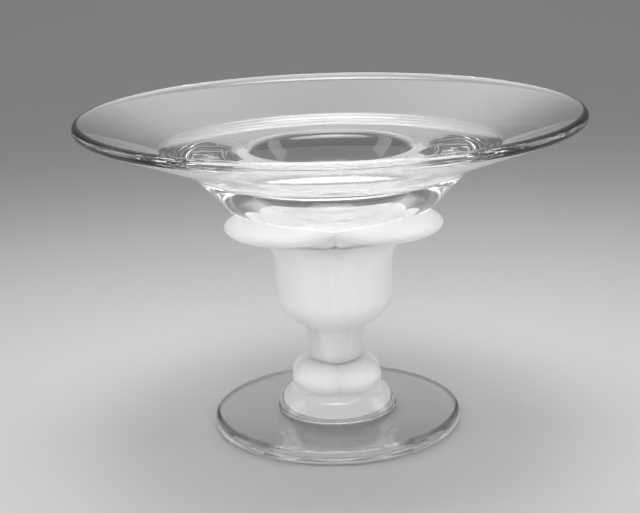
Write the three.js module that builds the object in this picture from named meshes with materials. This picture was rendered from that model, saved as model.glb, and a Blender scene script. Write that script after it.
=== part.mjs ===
// Footed centrepiece bowl: a clear dish and foot joined by a satin-etched, four-lobed stem.
// Millimetres, +Z up. The origin is the centre of the foot's ground face.
// Each piece is drawn from its own underside at height 0, then stacked on the piece below it.

import * as THREE from 'three';

const { clamp, degToRad, lerp, smoothstep } = THREE.MathUtils;

// Bonds: every flat joint is a gap that holds a slightly thinner film
const BOND_GAP = 0.3;
const BOND_FILM = 0.28;
const BOND_MARGIN = 1;

// Foot: a clear disc with a ground flat underside, and a flat seat with an etched round that joins the merese
const FOOT_RADIUS = 70.6;
const FOOT_HEIGHT = 8.3;
const FOOT_SHOULDER_HEIGHT = 7.2;
const FOOT_UPPER_ROUND = 4;
const FOOT_LOWER_ROUND = 2;
const FOOT_SEAT_MARGIN = 1.5;
const FOOT_JOINT_RADIUS = 26;

// Merese: a clear button that narrows upwards and is dished on top to take the knop
const MERESE_BASE_RADIUS = 34;
const MERESE_EDGE = 1.2;
const MERESE_SHOULDER_RADIUS = 30.6;
const MERESE_SHOULDER_HEIGHT = 7.6;
const MERESE_TOP_RADIUS = 25.4;
const MERESE_SEAT_HEIGHT = 9.6;
const MERESE_LIP_ROUND = 1.2;
const MERESE_DISH_CLEARANCE = 0.8;

// Knop: a satin cushion of four lobes
const KNOP_LOBE_RADIUS = 18.9;
const KNOP_LOBE_OFFSET = 9;
const KNOP_LOBE_HALF_HEIGHT = 10.6;
const KNOP_HEIGHT = 18;

// Stem: a satin bell standing on a slender neck
const NECK_HEIGHT = 19.4;
const NECK_BOTTOM_RADIUS = 14.6;
const NECK_TOP_RADIUS = 17.4;
const SHOULDER_ROUND = 1.6;
const BELL_HEIGHT = 55;
const BELL_RADIUS = 32.4;
const BELL_LEAN = 0.9;
const BELL_ROUND_HEIGHT = 23;
const BELL_FLARE_HEIGHT = 15.4;
const BELL_TOP_RADIUS = 42;
const BELL_CREASE_DEPTH = 1.8;
const BELL_CREASE_HEIGHT = 38.5;

// Collar: a satin ring of four lobes, dished on top to take the bowl's rounded base
const COLLAR_LOBE_RADIUS = 34.5;
const COLLAR_LOBE_OFFSET = 35.1;
const COLLAR_LOBE_HALF_HEIGHT = 9;
const COLLAR_EQUATOR = 9.9;
const COLLAR_WEB = 7.7;
const COLLAR_FLARE_SLOPE = degToRad(60);

// Bowl: a clear dish with a deep round hollow, in a conical base that is rounded underneath
const RIM_RADIUS = 140;
const RIM_HEIGHT = 59.7;
const RIM_THICKNESS = 6.4;
const BASE_FLAT_RADIUS = 33.8;
const BASE_ROUND = 39;
const BASE_CONE_SLOPE = degToRad(47.4);
const BASE_CONE_LENGTH = 25.5;
const BASE_CORNER_ROUND = 6;
const WELL_EDGE_OFFSET = 14.2;
const WELL_EDGE_THICKNESS = 4.4;
const WELL_FALL = 1.2;
const HOLLOW_RADIUS = 45;
const HOLLOW_LIP_ROUND = 3;
const HOLLOW_FLOOR = 8.5;

// Creases lie to the front, back, left and right, and are rounded over this angle
const CREASE_ROUND = degToRad(2.5);

// Fineness of the facets
const BOWL_SEGMENTS = 56;
const SEGMENTS = 48;
const CURVE_STEPS = 5;

const clearGlass = new THREE.MeshStandardMaterial({ color: 0xdde6e8, roughness: 0.05, metalness: 0 });
const satinGlass = new THREE.MeshStandardMaterial({ color: 0xf1f3f3, roughness: 0.6, metalness: 0 });
const bondResin = new THREE.MeshStandardMaterial({ color: 0xe8eaea, roughness: 0.1, metalness: 0 });
const etchedBond = new THREE.MeshStandardMaterial({ color: 0xf4f4f2, roughness: 0.8, metalness: 0 });

// Turns an outline of (radius, height) points about +Z: it runs from the axis, out, up and back
function turned(outline, segments) {
  return new THREE.LatheGeometry(outline, segments).rotateX(Math.PI / 2);
}

// Turns a piece whose outline changes with the angle round the axis, measured from the front
function turnedByAngle(outlineAt, segments) {
  const geometry = turned(outlineAt(0), segments);
  const position = geometry.getAttribute('position');
  let vertex = 0;
  for (let step = 0; step <= segments; step += 1) {
    const angle = (2 * Math.PI * step) / segments;
    for (const point of outlineAt(angle)) {
      position.setXYZ(vertex, point.x * Math.sin(angle), -point.x * Math.cos(angle), point.y);
      vertex += 1;
    }
  }
  geometry.computeVertexNormals();
  return geometry;
}

// Evenly spaced points of a curve, both ends included
function along(start, end, steps, pointAt) {
  return Array.from({ length: steps + 1 }, (_, i) => pointAt(lerp(start, end, i / steps)));
}

// The point that lies at a distance from another, up a slope
function stepFrom(point, distance, slope) {
  return new THREE.Vector2(point.x + distance * Math.cos(slope), point.y + distance * Math.sin(slope));
}

// Angle from the nearest lobe's middle, eased near the crease so that the crease is rounded
function angleFromLobe(angle) {
  const quarter = Math.PI / 2;
  const fromCrease = Math.abs(angle - quarter * Math.round(angle / quarter));
  const eased = Math.hypot(fromCrease, CREASE_ROUND);
  return Math.max(quarter / 2 - eased, 0);
}

// The depth of a crease at an angle from the front: a narrow peak at each of the four creases
function creaseShare(angle) {
  return (1 - Math.abs(Math.sin(2 * angle))) ** 4;
}

// The last value of a stretch at which a test holds, where it holds at the start and fails at the end
function lastHeld(start, end, test) {
  let held = start;
  let lost = end;
  for (let halving = 0; halving < 30; halving += 1) {
    const middle = (held + lost) / 2;
    if (test(middle)) held = middle;
    else lost = middle;
  }
  return held;
}

// The ellipse in which the half-plane at an angle from a lobe's middle cuts that lobe
function lobeSection(offAngle, lobeRadius, lobeOffset, lobeHalfHeight, equator) {
  const centre = lobeOffset * Math.cos(offAngle);
  const reach = Math.sqrt(lobeRadius ** 2 - (lobeOffset * Math.sin(offAngle)) ** 2);
  const rise = (lobeHalfHeight * reach) / lobeRadius;
  return {
    pointAt: (turn) => new THREE.Vector2(centre + reach * Math.cos(turn), equator + rise * Math.sin(turn)),
    turnAtRadius: (radius) => Math.acos(clamp((radius - centre) / reach, -1, 1)),
    turnAtHeight: (height) => Math.asin(clamp((height - equator) / rise, -1, 1)),
    holds: (point) => ((point.x - centre) / reach) ** 2 + ((point.y - equator) / rise) ** 2 < 1,
  };
}

function knopLobe(offAngle) {
  return lobeSection(offAngle, KNOP_LOBE_RADIUS, KNOP_LOBE_OFFSET, KNOP_LOBE_HALF_HEIGHT, KNOP_HEIGHT / 2);
}

function collarLobe(offAngle) {
  return lobeSection(
    offAngle, COLLAR_LOBE_RADIUS, COLLAR_LOBE_OFFSET, COLLAR_LOBE_HALF_HEIGHT, COLLAR_EQUATOR,
  );
}

function footOutline() {
  const shoulderStart = FOOT_RADIUS - FOOT_UPPER_ROUND;
  const path = new THREE.Path();
  path.moveTo(0, 0);
  path.lineTo(FOOT_RADIUS - FOOT_LOWER_ROUND, 0);
  path.quadraticCurveTo(FOOT_RADIUS, 0, FOOT_RADIUS, FOOT_LOWER_ROUND);
  path.lineTo(FOOT_RADIUS, FOOT_SHOULDER_HEIGHT - FOOT_UPPER_ROUND);
  path.quadraticCurveTo(FOOT_RADIUS, FOOT_SHOULDER_HEIGHT, shoulderStart, FOOT_SHOULDER_HEIGHT);
  path.lineTo(MERESE_BASE_RADIUS + FOOT_SEAT_MARGIN, FOOT_HEIGHT);
  path.lineTo(0, FOOT_HEIGHT);
  return path.getPoints(CURVE_STEPS);
}

function mereseOutline() {
  // The dish follows the underside of the knop's lobes and stays clear of it
  const lobe = knopLobe(0);
  const seatRadius = lobe.pointAt(lobe.turnAtHeight(0)).x;
  const dishPoint = (radius) => {
    const lobeHeight = BOND_GAP + lobe.pointAt(-lobe.turnAtRadius(radius)).y;
    return new THREE.Vector2(radius, MERESE_SEAT_HEIGHT + Math.max(lobeHeight - MERESE_DISH_CLEARANCE, 0));
  };
  const rim = dishPoint(MERESE_TOP_RADIUS - MERESE_LIP_ROUND);
  const wallTop = new THREE.Vector2(MERESE_TOP_RADIUS, rim.y - MERESE_LIP_ROUND);
  const path = new THREE.Path();
  path.moveTo(0, 0);
  path.lineTo(MERESE_BASE_RADIUS, 0);
  path.lineTo(MERESE_BASE_RADIUS, MERESE_EDGE);
  path.quadraticCurveTo(MERESE_SHOULDER_RADIUS, MERESE_SHOULDER_HEIGHT, wallTop.x, wallTop.y);
  path.quadraticCurveTo(MERESE_TOP_RADIUS, rim.y, rim.x, rim.y);
  return [
    ...path.getPoints(CURVE_STEPS),
    ...along(rim.x, seatRadius, CURVE_STEPS, dishPoint).slice(1),
    new THREE.Vector2(0, MERESE_SEAT_HEIGHT),
  ];
}

function knopOutline(angle) {
  const lobe = knopLobe(angleFromLobe(angle));
  return [
    new THREE.Vector2(0, 0),
    ...along(lobe.turnAtHeight(0), lobe.turnAtHeight(KNOP_HEIGHT), 2 * CURVE_STEPS, lobe.pointAt),
    new THREE.Vector2(0, KNOP_HEIGHT),
  ];
}

function stemOutline(angle) {
  const top = NECK_HEIGHT + BELL_HEIGHT;
  const bottomRadius = NECK_TOP_RADIUS + SHOULDER_ROUND;
  const bottom = NECK_HEIGHT + SHOULDER_ROUND;
  const wallTopRadius = BELL_RADIUS + BELL_LEAN;
  const flare = top - BELL_FLARE_HEIGHT;
  const path = new THREE.Path();
  path.moveTo(0, 0);
  path.lineTo(NECK_BOTTOM_RADIUS, 0);
  path.quadraticCurveTo(NECK_BOTTOM_RADIUS, NECK_HEIGHT / 2, NECK_TOP_RADIUS, NECK_HEIGHT);
  path.quadraticCurveTo(NECK_TOP_RADIUS, bottom, bottomRadius, bottom);
  // The rounded bottom swells out into the bell's wall
  path.bezierCurveTo(
    lerp(bottomRadius, BELL_RADIUS, 0.55), lerp(bottom, NECK_HEIGHT + BELL_ROUND_HEIGHT, 0.18),
    BELL_RADIUS, lerp(bottom, NECK_HEIGHT + BELL_ROUND_HEIGHT, 0.32),
    BELL_RADIUS, NECK_HEIGHT + BELL_ROUND_HEIGHT,
  );
  path.lineTo(wallTopRadius, flare);
  // The flare leaves the wall upright and leans out under the collar
  path.bezierCurveTo(
    wallTopRadius, lerp(flare, top, 0.33),
    lerp(wallTopRadius, BELL_TOP_RADIUS, 0.22), lerp(flare, top, 0.54),
    BELL_TOP_RADIUS, top,
  );
  path.lineTo(0, top);
  // The four creases are deepest at the top of the bell and fade out down its wall
  return path.getPoints(CURVE_STEPS).map((point) => {
    const fade = smoothstep(point.y, top - BELL_CREASE_HEIGHT, top);
    const depth = point.x > 0 ? BELL_CREASE_DEPTH * creaseShare(angle) * fade : 0;
    return new THREE.Vector2(point.x - depth, point.y);
  });
}

// The bowl's rounded underside, and the collar's dish when grown by a clearance
function basePoint(turn, clearance) {
  const radius = BASE_ROUND + clearance;
  return new THREE.Vector2(BASE_FLAT_RADIUS + radius * Math.sin(turn), BASE_ROUND - radius * Math.cos(turn));
}

function collarOutline(angle) {
  const lobe = collarLobe(angleFromLobe(angle));
  const dishPoint = (turn) => {
    const point = basePoint(turn, BOND_GAP);
    return point.setY(point.y + COLLAR_WEB + BOND_GAP);
  };
  // The lip is where the dish runs out through the top of the lobe
  const dishEnd = lastHeld(0, BASE_CONE_SLOPE, (turn) => lobe.holds(dishPoint(turn)));
  const lipTurn = lobe.turnAtRadius(dishPoint(dishEnd).x);
  // The bell's flare and its creases run on upwards until they go into the lobe
  const flareStart = new THREE.Vector2(BELL_TOP_RADIUS - BELL_CREASE_DEPTH * creaseShare(angle), 0);
  const flarePoint = (distance) => stepFrom(flareStart, distance, COLLAR_FLARE_SLOPE);
  const flareLength = lastHeld(0, COLLAR_EQUATOR, (distance) => !lobe.holds(flarePoint(distance)));
  const lobeStart = -lobe.turnAtRadius(flarePoint(flareLength).x);
  return [
    new THREE.Vector2(0, 0),
    flareStart,
    ...along(lobeStart, lipTurn, 2 * CURVE_STEPS, lobe.pointAt),
    ...along(dishEnd, 0, CURVE_STEPS, dishPoint).slice(1),
    new THREE.Vector2(0, COLLAR_WEB),
  ];
}

function bowlOutline() {
  const corner = stepFrom(basePoint(BASE_CONE_SLOPE, 0), BASE_CONE_LENGTH, BASE_CONE_SLOPE);
  const lipRound = RIM_THICKNESS / 2;
  const lipCentre = new THREE.Vector2(RIM_RADIUS - lipRound, RIM_HEIGHT - lipRound);
  // The brim's underside leaves the corner in a straight line that touches the lip's round
  const toLip = lipCentre.clone().sub(corner);
  const brimSlope = toLip.angle() - Math.asin(lipRound / toLip.length());
  const cornerStart = stepFrom(corner, -BASE_CORNER_ROUND, BASE_CONE_SLOPE);
  const cornerEnd = stepFrom(corner, BASE_CORNER_ROUND, brimSlope);
  const wellEdge = corner.y + WELL_EDGE_OFFSET * Math.tan(brimSlope) + WELL_EDGE_THICKNESS;
  // The hollow is part of a sphere that passes through its mouth and its floor
  const mouth = wellEdge - WELL_FALL;
  const hollowDepth = mouth - HOLLOW_FLOOR;
  const hollowRound = (HOLLOW_RADIUS ** 2 + hollowDepth ** 2) / (2 * hollowDepth);
  const hollowCentre = HOLLOW_FLOOR + hollowRound;
  const lipTurn = Math.acos((hollowCentre - mouth) / hollowRound) - HOLLOW_LIP_ROUND / hollowRound;
  const lipEnd = stepFrom(new THREE.Vector2(0, hollowCentre), hollowRound, lipTurn - Math.PI / 2);
  const path = new THREE.Path();
  path.moveTo(0, 0);
  path.lineTo(BASE_FLAT_RADIUS, 0);
  path.absarc(BASE_FLAT_RADIUS, BASE_ROUND, BASE_ROUND, -Math.PI / 2, BASE_CONE_SLOPE - Math.PI / 2, false);
  path.lineTo(cornerStart.x, cornerStart.y);
  path.quadraticCurveTo(corner.x, corner.y, cornerEnd.x, cornerEnd.y);
  path.absarc(lipCentre.x, lipCentre.y, lipRound, brimSlope - Math.PI / 2, brimSlope + Math.PI / 2, false);
  path.lineTo(corner.x + WELL_EDGE_OFFSET, wellEdge);
  path.lineTo(HOLLOW_RADIUS + HOLLOW_LIP_ROUND, mouth);
  path.quadraticCurveTo(HOLLOW_RADIUS, mouth, lipEnd.x, lipEnd.y);
  path.absarc(0, hollowCentre, hollowRound, lipTurn - Math.PI / 2, -Math.PI / 2, true);
  const outline = path.getPoints(CURVE_STEPS);
  outline.at(-1).setX(0);
  return outline;
}

function filmOutline(radius) {
  return [
    new THREE.Vector2(0, 0),
    new THREE.Vector2(radius, 0),
    new THREE.Vector2(radius, BOND_FILM),
    new THREE.Vector2(0, BOND_FILM),
  ];
}

const part = new THREE.Group();
part.name = 'centrepiece_bowl';
let level = 0;

function stack(name, geometry, material, height) {
  const mesh = new THREE.Mesh(geometry, material);
  mesh.name = name;
  mesh.position.z = level;
  part.add(mesh);
  level += height;
}

function stackBond(name, radius, material) {
  const clearance = (BOND_GAP - BOND_FILM) / 2;
  level += clearance;
  stack(name, turned(filmOutline(radius), SEGMENTS), material, BOND_FILM);
  level += clearance;
}

// The knop's flat faces are narrowest at its creases
const knopFlatRadius = knopOutline(0)[1].x;

stack('foot', turned(footOutline(), SEGMENTS), clearGlass, FOOT_HEIGHT);
stackBond('foot_bond', FOOT_JOINT_RADIUS, etchedBond);
stack('merese', turned(mereseOutline(), SEGMENTS), clearGlass, MERESE_SEAT_HEIGHT);
stackBond('merese_bond', knopFlatRadius - BOND_MARGIN, bondResin);
stack('knop', turnedByAngle(knopOutline, SEGMENTS), satinGlass, KNOP_HEIGHT);
stackBond('knop_bond', Math.min(knopFlatRadius, NECK_BOTTOM_RADIUS) - BOND_MARGIN, bondResin);
stack('stem', turnedByAngle(stemOutline, SEGMENTS), satinGlass, NECK_HEIGHT + BELL_HEIGHT);
stackBond('stem_bond', BELL_TOP_RADIUS - BELL_CREASE_DEPTH - BOND_MARGIN, bondResin);
stack('collar', turnedByAngle(collarOutline, SEGMENTS), satinGlass, COLLAR_WEB);
stackBond('bowl_bond', BASE_FLAT_RADIUS - BOND_MARGIN, bondResin);
stack('bowl', turned(bowlOutline(), BOWL_SEGMENTS), clearGlass, RIM_HEIGHT);

export default part;
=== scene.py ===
# %% [markdown]
# # A footed centrepiece bowl in clear and satin glass
# A wide clear bowl sits in a four-lobed satin collar, on a satin bell with a slender neck. A small
# four-lobed knop, a clear merese and a clear foot carry it. The frame holds these pieces as plain solids at
# their real sizes, with thin bonds between them. In this lesson each solid gets a smooth piece of glass in
# its place, the pieces get their finishes, and the bowl is set on a pale table under soft boxes.

# %% Load the frame
import math

import bmesh
import bpy
from mathutils import Matrix, Vector


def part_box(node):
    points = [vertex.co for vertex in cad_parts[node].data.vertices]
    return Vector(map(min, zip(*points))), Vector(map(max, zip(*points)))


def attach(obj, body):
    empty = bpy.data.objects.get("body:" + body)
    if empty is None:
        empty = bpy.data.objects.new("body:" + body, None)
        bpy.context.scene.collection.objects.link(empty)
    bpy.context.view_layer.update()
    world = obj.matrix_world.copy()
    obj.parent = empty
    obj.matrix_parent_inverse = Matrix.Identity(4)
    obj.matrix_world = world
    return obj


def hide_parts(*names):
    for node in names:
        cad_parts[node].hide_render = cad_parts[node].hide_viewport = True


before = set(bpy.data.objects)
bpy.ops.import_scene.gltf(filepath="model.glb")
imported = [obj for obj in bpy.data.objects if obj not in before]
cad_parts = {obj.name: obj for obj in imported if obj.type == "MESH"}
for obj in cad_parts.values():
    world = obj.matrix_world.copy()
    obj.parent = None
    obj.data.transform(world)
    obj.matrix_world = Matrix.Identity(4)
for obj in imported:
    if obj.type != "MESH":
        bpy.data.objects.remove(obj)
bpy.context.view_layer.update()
MM = 0.001
print("nodes in the frame:", sorted(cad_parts))

# %% [markdown]
# ## Drawing an outline and turning it
# Hot glass is turned on an iron while it is shaped, so most of these pieces are round about the upright
# axis, and half of a cut through the middle says all about them. By hand you would add a plane, merge it to
# one vertex, extrude that vertex from corner to corner, bevel the corners that are round, and spin the
# outline about Z. These helpers do just that. A curve with a Screw modifier would do as well, but here a
# handful of corners and their roundings stay readable, and the bevel of a corner is a smooth arc between
# its two edges.

# %% Outline tools
ROUND_SEGMENTS = 18
SAME_POINT = 0.01 * MM
SMOOTH_ANGLE = math.radians(40)


def select_only(piece):
    """Makes one object the selected and active one."""
    bpy.ops.object.select_all(action="DESELECT")
    piece.select_set(True)
    bpy.context.view_layer.objects.active = piece


def select_vertices(test):
    """Selects, in edit mode, the vertices whose place passes the test and all that lies between them."""
    bpy.ops.mesh.select_mode(type="VERT")
    bpy.ops.mesh.select_all(action="DESELECT")
    edit_mesh = bmesh.from_edit_mesh(bpy.context.object.data)
    for vertex in edit_mesh.verts:
        vertex.select = test(vertex.co)
    edit_mesh.select_flush(True)
    bmesh.update_edit_mesh(bpy.context.object.data)


def draw_outline(name, corners, round_segments=ROUND_SEGMENTS):
    """Draws (radius, height, rounding) corners, from the axis out and back to it, as one chain of edges."""
    bpy.ops.object.select_all(action="DESELECT")
    bpy.ops.mesh.primitive_plane_add(size=MM)
    bpy.context.object.name = name
    bpy.ops.object.mode_set(mode="EDIT")
    bpy.ops.mesh.merge(type="CENTER")
    radius, height, _ = corners[0]
    bpy.ops.transform.translate(value=(radius, 0, height))
    for next_radius, next_height, _ in corners[1:]:
        step = (next_radius - radius, 0, next_height - height)
        bpy.ops.mesh.extrude_region_move(TRANSFORM_OT_translate={"value": step})
        radius, height = next_radius, next_height
    for radius, height, rounding in corners:
        if rounding:
            corner = Vector((radius, 0, height))
            select_vertices(lambda place: (place - corner).length < SAME_POINT)
            bpy.ops.mesh.bevel(offset=rounding, segments=round_segments, affect="VERTICES")


def turn_outline(steps):
    """Spins the outline that is being edited once round Z, closes the seam and leaves edit mode."""
    bpy.ops.mesh.select_all(action="SELECT")
    bpy.ops.mesh.spin(steps=steps, angle=2 * math.pi, center=(0, 0, 0), axis=(0, 0, 1))
    bpy.ops.mesh.select_all(action="SELECT")
    bpy.ops.mesh.remove_doubles(threshold=0.2 * SAME_POINT)
    bpy.ops.mesh.normals_make_consistent(inside=False)
    bpy.ops.object.mode_set(mode="OBJECT")
    bpy.ops.object.shade_smooth_by_angle(angle=SMOOTH_ANGLE)
    return bpy.context.object


def report(piece):
    """Prints how fine a piece is and how large."""
    size = [round(side / MM, 1) for side in piece.dimensions]
    print(piece.name, "has", len(piece.data.polygons), "faces and measures", size, "mm")


# %% [markdown]
# ## The bowl
# The bowl is one heavy piece of clear glass. Its brim slopes up to a rolled lip. Inside, a shallow ledge
# leads to a deep round hollow, and outside the base is a cone that is rounded underneath. The hollow
# matters as much as the outside: clear glass shows both walls at once, and the dark round in the middle and
# the white band under the brim are pictures that these two walls make. So the outline runs round the
# outside, over the lip and down into the hollow, with each wall drawn where it is. A Solidify modifier
# would give one even thickness, which this is not.

# %% Bowl
BOWL_STEPS = 256
BOWL_ROUND_SEGMENTS = 40
LIP_ROUND = 3.2 * MM
LIP_BEVEL_SHARE = 0.998
BASE_FLAT_RADIUS = 33.8 * MM
BASE_ROUND = 39 * MM
CONE_SLOPE = math.radians(47.4)
CONE_LENGTH = 25.5 * MM
CONE_CORNER_ROUND = 6 * MM
WELL_EDGE_OFFSET = 14.2 * MM
WELL_EDGE_THICKNESS = 4.4 * MM
WELL_EDGE_ROUND = 1.5 * MM
WELL_FALL = 1.2 * MM
HOLLOW_RADIUS = 45 * MM
HOLLOW_LIP_ROUND = 3 * MM
HOLLOW_FLOOR = 8.5 * MM

bowl_low, bowl_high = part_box("bowl")


def up_slope(point, slope, distance):
    """Gives the point that lies at a distance from another, up a slope."""
    return Vector((point.x + distance * math.cos(slope), point.y + distance * math.sin(slope)))


def bowl_outside():
    """Gives the corners from the middle of the underside over the lip to the well's edge, and that edge."""
    tangent = BASE_ROUND * math.tan(CONE_SLOPE / 2)
    cone_foot = Vector((BASE_FLAT_RADIUS + tangent, bowl_low.z))
    cone_top = up_slope(cone_foot, CONE_SLOPE, tangent + CONE_LENGTH)
    lip_centre = Vector((bowl_high.x - LIP_ROUND, bowl_high.z - LIP_ROUND))
    to_lip = lip_centre - cone_top
    brim_slope = math.atan2(to_lip.y, to_lip.x) - math.asin(LIP_ROUND / to_lip.length)
    lip_reach = math.sqrt(to_lip.length_squared - LIP_ROUND**2) + LIP_ROUND
    lip_under = up_slope(cone_top, brim_slope, lip_reach)
    lip_over = up_slope(lip_under, brim_slope + math.pi / 2, 2 * LIP_ROUND)
    # Two bevels of the whole rounding would use up the edge between them
    lip_bevel = LIP_BEVEL_SHARE * LIP_ROUND
    well_edge = Vector((
        cone_top.x + WELL_EDGE_OFFSET,
        cone_top.y + WELL_EDGE_OFFSET * math.tan(brim_slope) + WELL_EDGE_THICKNESS,
    ))
    corners = [
        (0, bowl_low.z, 0),
        (cone_foot.x, cone_foot.y, tangent),
        (cone_top.x, cone_top.y, CONE_CORNER_ROUND),
        (lip_under.x, lip_under.y, lip_bevel),
        (lip_over.x, lip_over.y, lip_bevel),
        (well_edge.x, well_edge.y, WELL_EDGE_ROUND),
    ]
    return corners, well_edge


def bowl_hollow(well_edge):
    """Gives the corners of the hollow, which is nearly part of a sphere, from its mouth to its middle."""
    mouth = well_edge.y - WELL_FALL
    floor_height = bowl_low.z + HOLLOW_FLOOR
    depth = mouth - floor_height
    wall_slope = 2 * math.atan2(depth, HOLLOW_RADIUS)
    wall_length = depth / math.sin(wall_slope)
    # The lip takes its own part of the wall, so the arc below it stops short
    arc_reach = wall_length - 1.5 * HOLLOW_LIP_ROUND
    return [
        (HOLLOW_RADIUS, mouth, HOLLOW_LIP_ROUND),
        (HOLLOW_RADIUS - depth / math.tan(wall_slope), floor_height, arc_reach),
        (0, floor_height, 0),
    ]


outside, bowl_well_edge = bowl_outside()
draw_outline("clear_bowl", outside + bowl_hollow(bowl_well_edge), BOWL_ROUND_SEGMENTS)
bowl = turn_outline(BOWL_STEPS)
report(bowl)

# %% [markdown]
# ## The foot
# The foot is a clear disc with a rounded edge and a ground flat underside. A cylinder with bevelled edges
# would come close, but its top rises a little towards the middle, so it is drawn and turned like the bowl.

# %% Foot
FOOT_STEPS = 192
FOOT_SHOULDER_HEIGHT = 7.2 * MM
FOOT_UPPER_ROUND = 4 * MM
FOOT_LOWER_ROUND = 2 * MM
FOOT_SEAT_RADIUS = 35.5 * MM

foot_low, foot_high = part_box("foot")
draw_outline("clear_foot", [
    (0, foot_low.z, 0),
    (foot_high.x, foot_low.z, FOOT_LOWER_ROUND),
    (foot_high.x, foot_low.z + FOOT_SHOULDER_HEIGHT, FOOT_UPPER_ROUND),
    (FOOT_SEAT_RADIUS, foot_high.z, 0),
    (0, foot_high.z, 0),
])
foot = turn_outline(FOOT_STEPS)
report(foot)

# %% [markdown]
# ## The merese
# A merese is the button of glass between a foot and a stem. This one narrows upwards in a soft curve, and
# later its top is hollowed to take the knop. Clear glass that is joined to clear glass shows no seam, so
# the merese is drawn down through its bond and a hair into the foot: light then passes the joint as it does
# inside one piece.

# %% Merese
JOINT_OVERLAP = 0.05 * MM
MERESE_EDGE = 1.2 * MM
MERESE_SHOULDER_RADIUS = 30.6 * MM
MERESE_SHOULDER_HEIGHT = 7.6 * MM
MERESE_SHOULDER_ROUND = 5 * MM
MERESE_TOP_RADIUS = 25.4 * MM
MERESE_LIP_ROUND = 1.2 * MM

merese_low, merese_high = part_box("merese")
draw_outline("clear_merese", [
    (0, foot_high.z - JOINT_OVERLAP, 0),
    (merese_high.x, foot_high.z - JOINT_OVERLAP, 0),
    (merese_high.x, merese_low.z + MERESE_EDGE, 0),
    (MERESE_SHOULDER_RADIUS, merese_low.z + MERESE_SHOULDER_HEIGHT, MERESE_SHOULDER_ROUND),
    (MERESE_TOP_RADIUS, merese_high.z, MERESE_LIP_ROUND),
    (0, merese_high.z, 0),
])
merese = turn_outline(FOOT_STEPS)
report(merese)

# %% [markdown]
# ## The etched round
# Where the merese stands on the foot, both faces were ground and etched before they were joined. The clear
# glass over this round shows it as a broad white disc. It is turned as a very thin plate that reaches a
# hair into both pieces.

# %% Etched round
JOINT_RADIUS = 26 * MM

joint_low = foot_high.z - 2 * JOINT_OVERLAP
joint_high = foot_high.z + 2 * JOINT_OVERLAP
draw_outline("etched_round", [
    (0, joint_low, 0),
    (JOINT_RADIUS, joint_low, 0),
    (JOINT_RADIUS, joint_high, 0),
    (0, joint_high, 0),
])
etched_round = turn_outline(FOOT_STEPS)
report(etched_round)

# %% [markdown]
# ## Four lobes from one
# The knop and the collar are cushions of four lobes, pinched while the glass was soft. Each lobe is part of
# a flattened sphere that stands out towards a corner. One sphere is enough: squash it, move it out to its
# corner, cut away all but its own quarter with two bisects, and copy the quarter round the axis. The cut
# edges meet exactly, so merging them closes the shell. Joining four whole spheres with Booleans would give
# the same shape with messier creases. A little smoothing along the cuts then makes the creases soft, as
# they are in glass.

# %% Lobe tools
LOBE_SEGMENTS = 128
LOBE_RINGS = 64
CREASE_WIDTH = 1.2 * MM
CREASE_SMOOTHING = 2


def four_lobes(name, lobe_radius, lobe_offset, lobe_half_height, equator):
    """Makes the closed shell of four equal lobes that stand at the corners of a square."""
    corner = lobe_offset * math.sqrt(0.5)
    bpy.ops.object.select_all(action="DESELECT")
    bpy.ops.mesh.primitive_uv_sphere_add(segments=LOBE_SEGMENTS, ring_count=LOBE_RINGS, radius=lobe_radius)
    bpy.context.object.name = name
    bpy.ops.object.mode_set(mode="EDIT")
    bpy.ops.transform.rotate(value=math.radians(45), orient_axis="Z", center_override=(0, 0, 0))
    bpy.ops.transform.resize(value=(1, 1, lobe_half_height / lobe_radius))
    bpy.ops.transform.translate(value=(corner, corner, equator))
    for direction in ((1, 0, 0), (0, 1, 0)):
        bpy.ops.mesh.select_all(action="SELECT")
        bpy.ops.mesh.bisect(
            plane_co=(0, 0, 0), plane_no=direction, clear_inner=True, threshold=0.1 * SAME_POINT
        )
    bpy.ops.mesh.select_all(action="SELECT")
    for _ in range(3):
        bpy.ops.mesh.duplicate()
        bpy.ops.transform.rotate(value=math.radians(90), orient_axis="Z", center_override=(0, 0, 0))
    bpy.ops.mesh.select_all(action="SELECT")
    bpy.ops.mesh.remove_doubles(threshold=2 * SAME_POINT)
    bpy.ops.mesh.normals_make_consistent(inside=False)
    bpy.ops.object.mode_set(mode="OBJECT")
    return bpy.context.object


def soften_creases(above, below):
    """Smooths the vertices beside the creases, between two heights, until the crease is a soft groove."""
    bpy.ops.object.mode_set(mode="EDIT")
    select_vertices(lambda place: min(abs(place.x), abs(place.y)) < CREASE_WIDTH and above < place.z < below)
    bpy.ops.mesh.vertices_smooth(factor=0.5, repeat=CREASE_SMOOTHING)
    bpy.ops.object.mode_set(mode="OBJECT")


def cut_flat(height, **side):
    """Cuts the active object level at a height and closes the cut; side says which part is thrown away."""
    bpy.ops.object.mode_set(mode="EDIT")
    bpy.ops.mesh.select_all(action="SELECT")
    bpy.ops.mesh.bisect(
        plane_co=(0, 0, height), plane_no=(0, 0, 1), use_fill=True, threshold=0.1 * SAME_POINT, **side
    )
    bpy.ops.object.mode_set(mode="OBJECT")


# %% [markdown]
# ## Joining pieces of one casting
# Where a piece is made of two forms that run into each other, the forms are drawn one by one and joined
# with a Boolean modifier. It keeps the outer skin only, which matters in glass: a wall left inside would
# show.

# %% Boolean tool
def apply_boolean(piece, tool, operation):
    """Joins a tool object to a piece, or cuts it out of the piece, and deletes the tool."""
    select_only(piece)
    bpy.ops.object.modifier_add(type="BOOLEAN")
    boolean = piece.modifiers[-1]
    boolean.object = tool
    boolean.operation = operation
    boolean.solver = "EXACT"
    bpy.ops.object.modifier_apply(modifier=boolean.name)
    bpy.data.objects.remove(tool)


# %% [markdown]
# ## The knop
# The knop is the small cushion under the neck. It is cut flat where it meets the neck and the merese. The
# lower cut lies at the underside of the bond below it, so that no dark slit is left where the film of the
# bond would be. The upper cut lies a little inside the neck, because soft glass runs up round the piece
# that is pressed into it.

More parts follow.
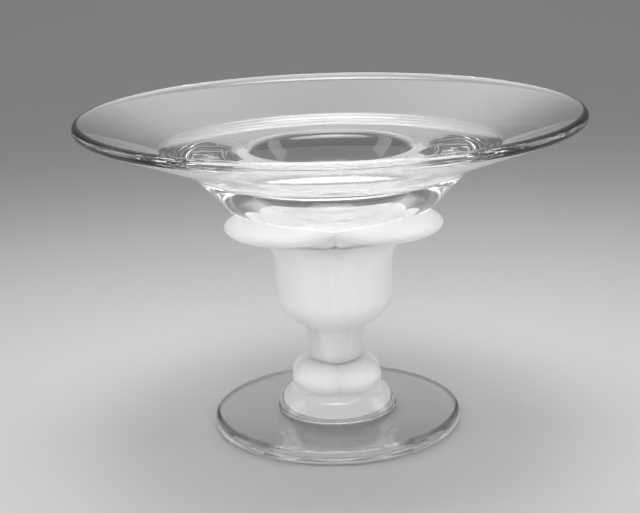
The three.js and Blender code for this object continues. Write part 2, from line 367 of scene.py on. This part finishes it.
# %% Knop
KNOP_LOBE_RADIUS = 18.9 * MM
KNOP_LOBE_OFFSET = 9 * MM
KNOP_LOBE_HALF_HEIGHT = 10.6 * MM
KNOP_RISE = 1.2 * MM

knop_low, knop_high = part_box("knop")
knop_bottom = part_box("merese_bond")[0].z
knop_top = knop_high.z + KNOP_RISE
knop_equator = (knop_low.z + knop_high.z) / 2
knop = four_lobes("satin_knop", KNOP_LOBE_RADIUS, KNOP_LOBE_OFFSET, KNOP_LOBE_HALF_HEIGHT, knop_equator)
cut_flat(knop_bottom, clear_inner=True)
cut_flat(knop_top, clear_outer=True)
soften_creases(knop_bottom + SAME_POINT, knop_top - SAME_POINT)
bpy.ops.object.shade_smooth_by_angle(angle=SMOOTH_ANGLE)
report(knop)

# %% [markdown]
# ## Seating one piece in another
# Hot glass takes the shape of what it is pressed on. The merese takes the underside of the knop in this
# way, and later the collar takes the rounded base of the bowl. A Boolean modifier copies that: the seat is
# cut with a copy of the piece that sits in it, drawn in by a hair, so that the two touch with no air
# between them. That is why the white of the satin shows right through the clear glass.

# %% Seat tool
def cut_seat(piece, sitter):
    """Cuts the place of one piece out of another, a hair smaller than the piece itself."""
    select_only(sitter)
    bpy.ops.object.duplicate()
    cutter = bpy.context.object
    bpy.ops.object.mode_set(mode="EDIT")
    bpy.ops.mesh.select_all(action="SELECT")
    bpy.ops.transform.shrink_fatten(value=-JOINT_OVERLAP)
    bpy.ops.object.mode_set(mode="OBJECT")
    apply_boolean(piece, cutter, "DIFFERENCE")


cut_seat(merese, knop)
bpy.ops.object.shade_smooth_by_angle(angle=SMOOTH_ANGLE)
report(merese)

# %% [markdown]
# ## The stem
# The stem is a satin bell on a slender neck. It is turned like the clear pieces. Its wall is divided into
# short steps, because the creases that come next need vertices to move, and it runs on through the bonds at
# its two ends.

# %% Stem
STEM_STEPS = 384
WALL_STEPS = 14
WALL_CLEARANCE = 1.05
NECK_BOTTOM_RADIUS = 14.6 * MM
NECK_TOP_RADIUS = 17.4 * MM
NECK_HEIGHT = 21 * MM
NECK_ROUND = NECK_HEIGHT / 2.2
SHOULDER_ROUND = 1.6 * MM
BELL_RADIUS = 32.4 * MM
BELL_SWELL_HEIGHT = 28 * MM
BELL_SWELL_ROUND = 10.3 * MM
BELL_WALL_TOP_RADIUS = 33.4 * MM
BELL_FLARE_HEIGHT = 64 * MM
BELL_FLARE_ROUND = 7 * MM
BELL_TOP_RADIUS = 42 * MM

stem_low, stem_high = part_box("stem")
stem_bottom = knop_high.z - JOINT_OVERLAP
stem_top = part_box("collar")[0].z + JOINT_OVERLAP


def bell_wall():
    """Gives plain corners up the bell's wall, clear of the roundings at its two ends."""
    start = Vector((BELL_RADIUS, stem_low.z + BELL_SWELL_HEIGHT))
    end = Vector((BELL_WALL_TOP_RADIUS, stem_low.z + BELL_FLARE_HEIGHT))
    length = (end - start).length
    first = WALL_CLEARANCE * BELL_SWELL_ROUND / length
    last = 1 - WALL_CLEARANCE * BELL_FLARE_ROUND / length
    shares = [first + (last - first) * step / WALL_STEPS for step in range(WALL_STEPS + 1)]
    places = [start.lerp(end, share) for share in shares]
    return [(place.x, place.y, 0) for place in places]


draw_outline("satin_stem", [
    (0, stem_bottom, 0),
    (NECK_BOTTOM_RADIUS, stem_bottom, 0),
    (NECK_BOTTOM_RADIUS, stem_low.z + NECK_HEIGHT / 2, NECK_ROUND),
    (NECK_TOP_RADIUS, stem_low.z + NECK_HEIGHT, SHOULDER_ROUND),
    (BELL_RADIUS, stem_low.z + BELL_SWELL_HEIGHT, BELL_SWELL_ROUND),
    *bell_wall(),
    (BELL_WALL_TOP_RADIUS, stem_low.z + BELL_FLARE_HEIGHT, BELL_FLARE_ROUND),
    (BELL_TOP_RADIUS, stem_top, 0),
    (0, stem_top, 0),
])
stem = turn_outline(STEM_STEPS)
report(stem)

# %% [markdown]
# ## Creases in the bell
# Four shallow creases run down the bell from the creases of the collar and fade out. You could paint them
# as vertex weights and let a Displace modifier press them in. Here the weights come from a formula, because
# they have to lie exactly under the collar's creases: a narrow peak at the front, back, left and right,
# that fades with height.

# %% Crease tool
CREASE_SHARPNESS = 8
BELL_CREASE_DEPTH = 1.8 * MM
BELL_CREASE_HEIGHT = 38.5 * MM


def press_creases(piece, depth, fade_start, fade_end):
    """Presses four creases into a turned piece, from nothing at one height to the full depth at another."""
    select_only(piece)
    weights = piece.vertex_groups.new(name="creases")
    for vertex in piece.data.vertices:
        if vertex.co.xy.length < SAME_POINT:
            continue
        angle = math.atan2(vertex.co.y, vertex.co.x)
        share = (1 - abs(math.sin(2 * angle))) ** CREASE_SHARPNESS
        rise = min(max((vertex.co.z - fade_start) / (fade_end - fade_start), 0), 1)
        fade = rise * rise * (3 - 2 * rise)
        weights.add([vertex.index], share * fade, "REPLACE")
    bpy.ops.object.modifier_add(type="DISPLACE")
    press = piece.modifiers[-1]
    press.vertex_group = weights.name
    press.mid_level = 0
    press.strength = -depth
    bpy.ops.object.modifier_apply(modifier=press.name)
    bpy.ops.object.vertex_group_remove(all=True)


press_creases(stem, BELL_CREASE_DEPTH, stem_high.z - BELL_CREASE_HEIGHT, stem_high.z)
report(stem)

# %% [markdown]
# ## The collar
# The collar is the larger cushion of four lobes. Between the lobes the bell seems to run on upwards, so a
# short boss goes on with its flare, with the same creases, and is joined to the lobes. It also fills the
# middle, which the lobes leave open. The base of the bowl then hollows the top, so that the lobes stand up
# round the cone and part in a notch at each crease.

# %% Collar
COLLAR_LOBE_RADIUS = 34.5 * MM
COLLAR_LOBE_OFFSET = 35.1 * MM
COLLAR_LOBE_HALF_HEIGHT = 9 * MM
COLLAR_EQUATOR = 9.9 * MM
BOSS_HEIGHT = 10.5 * MM
BOSS_FLARE = 6.06 * MM

collar_low, collar_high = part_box("collar")
draw_outline("boss", [
    (0, collar_low.z, 0),
    (BELL_TOP_RADIUS, collar_low.z, 0),
    (BELL_TOP_RADIUS + BOSS_FLARE, collar_low.z + BOSS_HEIGHT, 0),
    (0, collar_low.z + BOSS_HEIGHT, 0),
])
boss = turn_outline(STEM_STEPS)
press_creases(boss, BELL_CREASE_DEPTH, stem_high.z - BELL_CREASE_HEIGHT, stem_high.z)
collar = four_lobes(
    "satin_collar", COLLAR_LOBE_RADIUS, COLLAR_LOBE_OFFSET, COLLAR_LOBE_HALF_HEIGHT,
    collar_low.z + COLLAR_EQUATOR,
)
soften_creases(collar_low.z, collar_high.z)
apply_boolean(collar, boss, "UNION")
cut_seat(collar, bowl)
bpy.ops.object.shade_smooth_by_angle(angle=SMOOTH_ANGLE)
report(collar)

# %% [markdown]
# ## Shader maths
# A finish is a small network of nodes. To keep it readable, a socket is wrapped in a class of its own:
# arithmetic on such signals adds Math nodes, and one method adds any other node with its settings and
# inputs.

# %% Shader tools
class Signal:
    """One output socket of a node. Arithmetic on signals adds Math nodes."""

    def __init__(self, tree, socket):
        self.tree = tree
        self.socket = socket

    @classmethod
    def node(cls, tree, kind, settings=None, sockets=None, output=0):
        """Adds any node: its settings are set first, then its input sockets get values or links."""
        made = tree.nodes.new(kind)
        for name, value in (settings or {}).items():
            setattr(made, name, value)
        for name, value in (sockets or {}).items():
            if isinstance(value, Signal):
                tree.links.new(value.socket, made.inputs[name])
            else:
                made.inputs[name].default_value = value
        return cls(tree, made.outputs[output])

    def maths(self, operation, first, second):
        """Adds a Math node on two signals or numbers."""
        return Signal.node(self.tree, "ShaderNodeMath", {"operation": operation}, {0: first, 1: second})

    def __add__(self, other):
        return self.maths("ADD", self, other)

    def __mul__(self, other):
        return self.maths("MULTIPLY", self, other)

    __radd__ = __add__
    __rmul__ = __mul__


def new_material(name):
    """Makes a material with an empty node tree."""
    material = bpy.data.materials.new(name)
    material.use_nodes = True
    material.node_tree.nodes.clear()
    return material


def finish_material(material, surface):
    """Puts the last shader on the material's output."""
    output = material.node_tree.nodes.new("ShaderNodeOutputMaterial")
    material.node_tree.links.new(surface.socket, output.inputs["Surface"])
    print(material.name, "has", len(material.node_tree.nodes), "nodes")
    return material


def noise(tree, place, scale, detail):
    """Adds cloudy noise with so many patches to the metre."""
    return Signal.node(tree, "ShaderNodeTexNoise", None, {"Vector": place, "Scale": scale, "Detail": detail})


def ring_wave(tree, place, scale, distortion, detail_scale):
    """Adds rings about the upright axis."""
    return Signal.node(
        tree, "ShaderNodeTexWave", {"wave_type": "RINGS", "rings_direction": "Z"},
        {"Vector": place, "Scale": scale, "Distortion": distortion, "Detail Scale": detail_scale},
        output="Fac",
    )


def bump(tree, height, strength, depth):
    """Turns a height into a slight change of the normal."""
    return Signal.node(
        tree, "ShaderNodeBump", None, {"Strength": strength, "Distance": depth, "Height": height}
    )


def blend_colours(tree, share, low, high):
    """Mixes two colours: a share of 0 gives the first and 1 the second."""
    return Signal.node(
        tree, "ShaderNodeMix", {"data_type": "RGBA"}, {"Factor": share, 6: low, 7: high}, output=2
    )


# %% [markdown]
# ## Clear glass
# The bowl, the merese and the foot are clear and fire polished. Glass is nearly all reflection and
# refraction, so most of its look comes from its shape and from what stands round it. Hand-made glass is
# never quite flat, and a very slight ripple in its normals breaks up the reflections. A faint grey-green
# breath of colour and a trace of handling haze vary over the surface.

# %% Clear glass
GLASS_INDEX = 1.5
GLASS_LIGHT = (0.985, 0.99, 0.988, 1)
GLASS_DEEP = (0.962, 0.975, 0.972, 1)
HAZE_ROUGHNESS = 0.02
RING_SCALE = 50
RIPPLE_SCALE = 12
BREATH_SCALE = 14
HAZE_SCALE = 40
RIPPLE_STRENGTH = 0.008
RIPPLE_DEPTH = 2 * MM


def clear_glass():
    """Makes the finish of the bowl, the merese and the foot."""
    material = new_material("clear_glass")
    tree = material.node_tree
    place = Signal.node(tree, "ShaderNodeTexCoord", output="Object")
    rings = ring_wave(tree, place, RING_SCALE, distortion=1, detail_scale=0.4)
    ripple = 0.2 * rings + 0.8 * noise(tree, place, RIPPLE_SCALE, detail=0)
    breath = noise(tree, place, BREATH_SCALE, detail=2)
    haze = noise(tree, place, HAZE_SCALE, detail=3)
    surface = Signal.node(tree, "ShaderNodeBsdfPrincipled", None, {
        "Base Color": blend_colours(tree, breath, GLASS_LIGHT, GLASS_DEEP),
        "Roughness": HAZE_ROUGHNESS * haze * haze * haze,
        "IOR": GLASS_INDEX,
        "Transmission Weight": 1.0,
        "Normal": bump(tree, ripple, RIPPLE_STRENGTH, RIPPLE_DEPTH),
    })
    return finish_material(material, surface)


clear = clear_glass()

# %% [markdown]
# ## Satin glass
# The collar, stem and knop are the same glass, but an acid bath has left a fine satin skin. The skin
# spreads the light and the glass behind it glows a little, which subsurface scattering shows well. The etch
# is never even: soft clouds and faint upright streaks, where the acid ran, change its tone and its
# roughness, and a very fine grain breaks up the highlights. Where the glass is thin it glows less, and that
# is painted shade: close to the axis, which is at the neck, the colour is painted greyer and its streaks
# show more. A little sheen brightens the outline, where the skin is seen at a slant.

# %% Satin glass
SATIN_LIGHT = (0.95, 0.95, 0.94, 1)
SATIN_DEEP = (0.8, 0.81, 0.81, 1)
# Painted shade: these greyer colours near the axis stand for the weaker glow of thin glass.
THIN_SHADE_LIGHT = (0.86, 0.86, 0.85, 1)
THIN_SHADE_DEEP = (0.64, 0.65, 0.65, 1)
THIN_RADIUS = 16 * MM
THICK_RADIUS = 26 * MM
SATIN_ROUGHNESS = 0.4
SATIN_GLOW_REACH = 15 * MM
STREAK_STRETCH = 0.1
STREAK_SCALE = 130
CLOUD_SCALE = 35
GRAIN_SCALE = 900
GRAIN_STRENGTH = 0.12
GRAIN_DEPTH = 0.2 * MM


def thickness_share(tree, place):
    """Gives 0 where the satin glass is as thin as the neck, and 1 where it is thick."""
    level = Signal.node(tree, "ShaderNodeVectorMath", {"operation": "MULTIPLY"}, {0: place, 1: (1, 1, 0)})
    from_axis = Signal.node(
        tree, "ShaderNodeVectorMath", {"operation": "LENGTH"}, {0: level}, output="Value"
    )
    return Signal.node(
        tree, "ShaderNodeMapRange", {"interpolation_type": "SMOOTHSTEP"},
        {"Value": from_axis, "From Min": THIN_RADIUS, "From Max": THICK_RADIUS},
    )


def satin_glass():
    """Makes the finish of the collar, the stem and the knop."""
    material = new_material("satin_glass")
    tree = material.node_tree
    place = Signal.node(tree, "ShaderNodeTexCoord", output="Object")
    stretched = Signal.node(
        tree, "ShaderNodeVectorMath", {"operation": "MULTIPLY"}, {0: place, 1: (1, 1, STREAK_STRETCH)}
    )
    grain = noise(tree, place, GRAIN_SCALE, detail=2)
    cloud = noise(tree, place, CLOUD_SCALE, detail=3)
    streak = noise(tree, stretched, STREAK_SCALE, detail=2)
    thick_tone = blend_colours(tree, 0.45 * cloud + 0.55 * streak, SATIN_LIGHT, SATIN_DEEP)
    # Painted shade: near the axis the colour runs greyer, for the weaker glow of thin glass; the streaks are
    # the etch's own.
    thin_painted_shade = blend_colours(tree, streak, THIN_SHADE_LIGHT, THIN_SHADE_DEEP)
    surface = Signal.node(tree, "ShaderNodeBsdfPrincipled", None, {
        "Base Color": blend_colours(tree, thickness_share(tree, place), thin_painted_shade, thick_tone),
        "Roughness": SATIN_ROUGHNESS + 0.15 * cloud,
        "Sheen Weight": 0.4,
        "Sheen Roughness": 0.4,
        "IOR": GLASS_INDEX,
        "Subsurface Weight": 0.9,
        "Subsurface Radius": (1.0, 1.0, 1.0),
        "Subsurface Scale": SATIN_GLOW_REACH,
        "Coat Weight": 0.25,
        "Coat Roughness": 0.15,
        "Normal": bump(tree, grain, GRAIN_STRENGTH, GRAIN_DEPTH),
    })
    return finish_material(material, surface)


satin = satin_glass()

# %% [markdown]
# ## The etched face
# A ground and etched face inside the glass is matt and white, with the faint turning marks of the wheel. A
# ring-shaped wave about the axis makes the marks, and noise breaks them up. Thick clear glass gathers light
# from all round and brings it to such a face, more than these few lamps can send there, so a faint glow of
# its own stands for that light.

# %% Etched face
ETCH_LIGHT = (0.98, 0.98, 0.97, 1)
ETCH_DEEP = (0.93, 0.935, 0.93, 1)
ETCH_GLOW = 0.25
MARK_SCALE = 140
MARK_STRENGTH = 0.1
MARK_DEPTH = 0.2 * MM
ETCH_CLOUD_SCALE = 60


def etched_face():
    """Makes the matt white of the etched faces inside the glass."""
    material = new_material("etched_face")
    tree = material.node_tree
    place = Signal.node(tree, "ShaderNodeTexCoord", output="Object")
    marks = ring_wave(tree, place, MARK_SCALE, distortion=2, detail_scale=1)
    cloud = noise(tree, place, ETCH_CLOUD_SCALE, detail=3)
    tone = blend_colours(tree, 0.3 * marks + 0.7 * cloud, ETCH_LIGHT, ETCH_DEEP)
    surface = Signal.node(tree, "ShaderNodeBsdfPrincipled", None, {
        "Base Color": tone,
        "Emission Color": tone,
        "Emission Strength": ETCH_GLOW,
        "Roughness": 0.7 + 0.2 * cloud,
        "IOR": GLASS_INDEX,
        "Normal": bump(tree, marks, MARK_STRENGTH, MARK_DEPTH),
    })
    return finish_material(material, surface)


etched = etched_face()

# %% [markdown]
# ## Dressing the pieces
# Each piece gets its finish, rides on the one rigid body, and stands for its solid and for the bonds that
# it covers.

# %% Dress the pieces
def dress(piece, material, slot, *nodes):
    """Gives a piece its finish and says which solids it stands for."""
    piece.data.materials.clear()
    piece.data.materials.append(material)
    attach(piece, "root")
    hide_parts(*nodes)
    print(piece.name, "stands for", ", ".join(nodes))


SEAT_TOLERANCE = 0.7 * MM


def on_bowl(place):
    """Tells whether a place lies on the rounded underside of the bowl."""
    outward = max(place.xy.length - BASE_FLAT_RADIUS, 0)
    centre_height = bowl_low.z + BASE_ROUND
    return abs(math.hypot(outward, place.z - centre_height) - BASE_ROUND) < SEAT_TOLERANCE


def etch_seat(piece):
    """Gives the faces that carry the bowl the matt white of an etched face."""
    piece.data.materials.append(etched)
    select_only(piece)
    bpy.ops.object.mode_set(mode="EDIT")
    select_vertices(on_bowl)
    piece.active_material_index = 1
    bpy.ops.object.material_slot_assign()
    bpy.ops.object.mode_set(mode="OBJECT")
    print(piece.name, "has", sum(face.material_index for face in piece.data.polygons), "etched faces")


dress(bowl, clear, "clear_glass", "bowl")
dress(collar, satin, "satin_glass", "collar", "bowl_bond")
etch_seat(collar)
dress(stem, satin, "satin_glass", "stem", "stem_bond", "knop_bond")
dress(knop, satin, "satin_glass", "knop", "merese_bond")
dress(merese, clear, "clear_glass", "merese")
dress(etched_round, etched, "etched_face", "foot_bond")
dress(foot, clear, "clear_glass", "foot")

# %% [markdown]
# ## The table
# The bowl stands on a plain pale table. The table lies a fraction of a millimetre below the foot: real
# surfaces only touch in places, and the thin air between them is what makes the underside of a glass foot
# shine like a mirror.

# %% Table
TABLE_SIZE = 8
TABLE_GAP = 0.4 * MM
TABLE_PALE = (0.58, 0.58, 0.57, 1)
TABLE_ROUGHNESS = 0.8


def table_top():
    """Makes the plain finish of the table."""
    material = new_material("pale_table")
    tree = material.node_tree
    surface = Signal.node(
        tree, "ShaderNodeBsdfPrincipled", None, {"Base Color": TABLE_PALE, "Roughness": TABLE_ROUGHNESS}
    )
    return finish_material(material, surface)


bpy.ops.object.select_all(action="DESELECT")
bpy.ops.mesh.primitive_plane_add(size=TABLE_SIZE, location=(0, 0, foot_low.z - TABLE_GAP))
table = bpy.context.object
table.name = "table"
table.data.materials.append(table_top())
print("the table lies at", round(table.location.z / MM, 2), "mm")

# %% [markdown]
# ## Soft light
# Glass is lit by what it mirrors. A large soft box overhead fills the satin, two tall ones at the sides
# draw the bright edges of the lip and the foot, and a broad low one at the front keeps the bell from
# falling dark. Their spread is narrow, so the light pools round the bowl and the table behind it falls off
# to grey, which lets the clear glass stand out. The side boxes are hidden from refracted rays, because the
# hollow would break them up into bright squiggles, and the front box from mirrored ones, because from
# behind the brim would show it as a hard white patch.

# %% Soft boxes
AIM = Vector((0, 0, 0.1))


def soft_box(name, place, width, height, power, spread):
    """Hangs a rectangular lamp that looks at the bowl."""
    bpy.ops.object.light_add(type="AREA", location=place)
    lamp = bpy.context.object
    lamp.name = name
    lamp.data.shape = "RECTANGLE"
    lamp.data.size = width
    lamp.data.size_y = height
    lamp.data.energy = power
    lamp.data.spread = math.radians(spread)
    lamp.rotation_euler = (AIM - Vector(place)).to_track_quat("-Z", "Y").to_euler()
    lamp.visible_camera = False
    print(name, "gives", power, "watts")
    return lamp


soft_box("top_box", place=(0, 0.05, 1.1), width=0.7, height=0.7, power=1.5, spread=70)
for name, side in (("left_box", -0.9), ("right_box", 0.9)):
    side_box = soft_box(name, place=(side, 0.1, 0.4), width=0.4, height=0.8, power=0.55, spread=90)
    side_box.visible_transmission = False
front_box = soft_box("front_box", place=(0, -1.25, 0.36), width=1.5, height=0.5, power=2.0, spread=60)
front_box.visible_glossy = False

# %% [markdown]
# ## The room
# The rest of the room is an even pale grey, with a broad soft glow high up behind the bowl. The sloping
# brim mirrors that glow towards the camera, which gives it its sheen. The glow has no edge, so the sheen
# has none either.

# %% Room
ROOM_LIGHT = 0.15
GLOW_LIGHT = 2.0
GLOW_DIRECTION = (0, 0.72, 0.69)
GLOW_NARROWNESS = 16

world = bpy.data.worlds.new("studio")
bpy.context.scene.world = world
world.use_nodes = True
room = world.node_tree
direction = Signal.node(room, "ShaderNodeTexCoord", output="Generated")
towards = Signal.node(
    room, "ShaderNodeVectorMath", {"operation": "DOT_PRODUCT"},
    {0: direction, 1: GLOW_DIRECTION}, output="Value",
)
facing = towards.maths("MAXIMUM", towards, 0.0)
brightness = ROOM_LIGHT + GLOW_LIGHT * facing.maths("POWER", facing, GLOW_NARROWNESS)
room.links.new(brightness.socket, room.nodes["Background"].inputs["Strength"])
room.nodes["Background"].inputs["Color"].default_value = (1, 1, 1, 1)
print("the room gives", ROOM_LIGHT, "and the glow up to", GLOW_LIGHT, "more")

# %% [markdown]
# ## The camera
# The camera stands where the photograph was taken: a little above the rim, with a lens long enough to keep
# the ovals flat. Its place was found by fitting the ovals of the rim and the foot, and the slight roll
# comes from the same fit.

# %% Camera
IMAGE_WIDTH = 640
FOCAL_PIXELS = 1461
SENSOR_WIDTH = 36
CAMERA_DISTANCE = 0.7911
CAMERA_HEIGHT = 0.3167
CAMERA_AZIMUTH = math.radians(-1.3)
CAMERA_TURN = math.radians(0.546)
CAMERA_PITCH = math.radians(15.58)
CAMERA_ROLL = math.radians(-1.756)

bpy.ops.object.camera_add()
camera = bpy.context.object
camera.data.sensor_width = SENSOR_WIDTH
camera.data.lens = FOCAL_PIXELS / IMAGE_WIDTH * SENSOR_WIDTH
orbit = Matrix.Rotation(CAMERA_AZIMUTH, 4, "Z")
aim = (
    Matrix.Rotation(CAMERA_TURN, 4, "Z")
    @ Matrix.Rotation(math.pi / 2 - CAMERA_PITCH, 4, "X")
    @ Matrix.Rotation(CAMERA_ROLL, 4, "Z")
)
camera.matrix_world = orbit @ Matrix.Translation((0, -CAMERA_DISTANCE, CAMERA_HEIGHT)) @ aim
bpy.context.scene.camera = camera
print("the lens is", round(camera.data.lens, 1), "mm")

# %% [markdown]
# ## Render settings
# Light crosses many walls on its way through nested glass, so more bounces than usual are allowed.

# %% Render settings
GLASS_BOUNCES = 24
MIRROR_BOUNCES = 12

scene = bpy.context.scene
scene.view_settings.view_transform = "Standard"
scene.cycles.max_bounces = GLASS_BOUNCES
scene.cycles.transmission_bounces = GLASS_BOUNCES
scene.cycles.glossy_bounces = MIRROR_BOUNCES
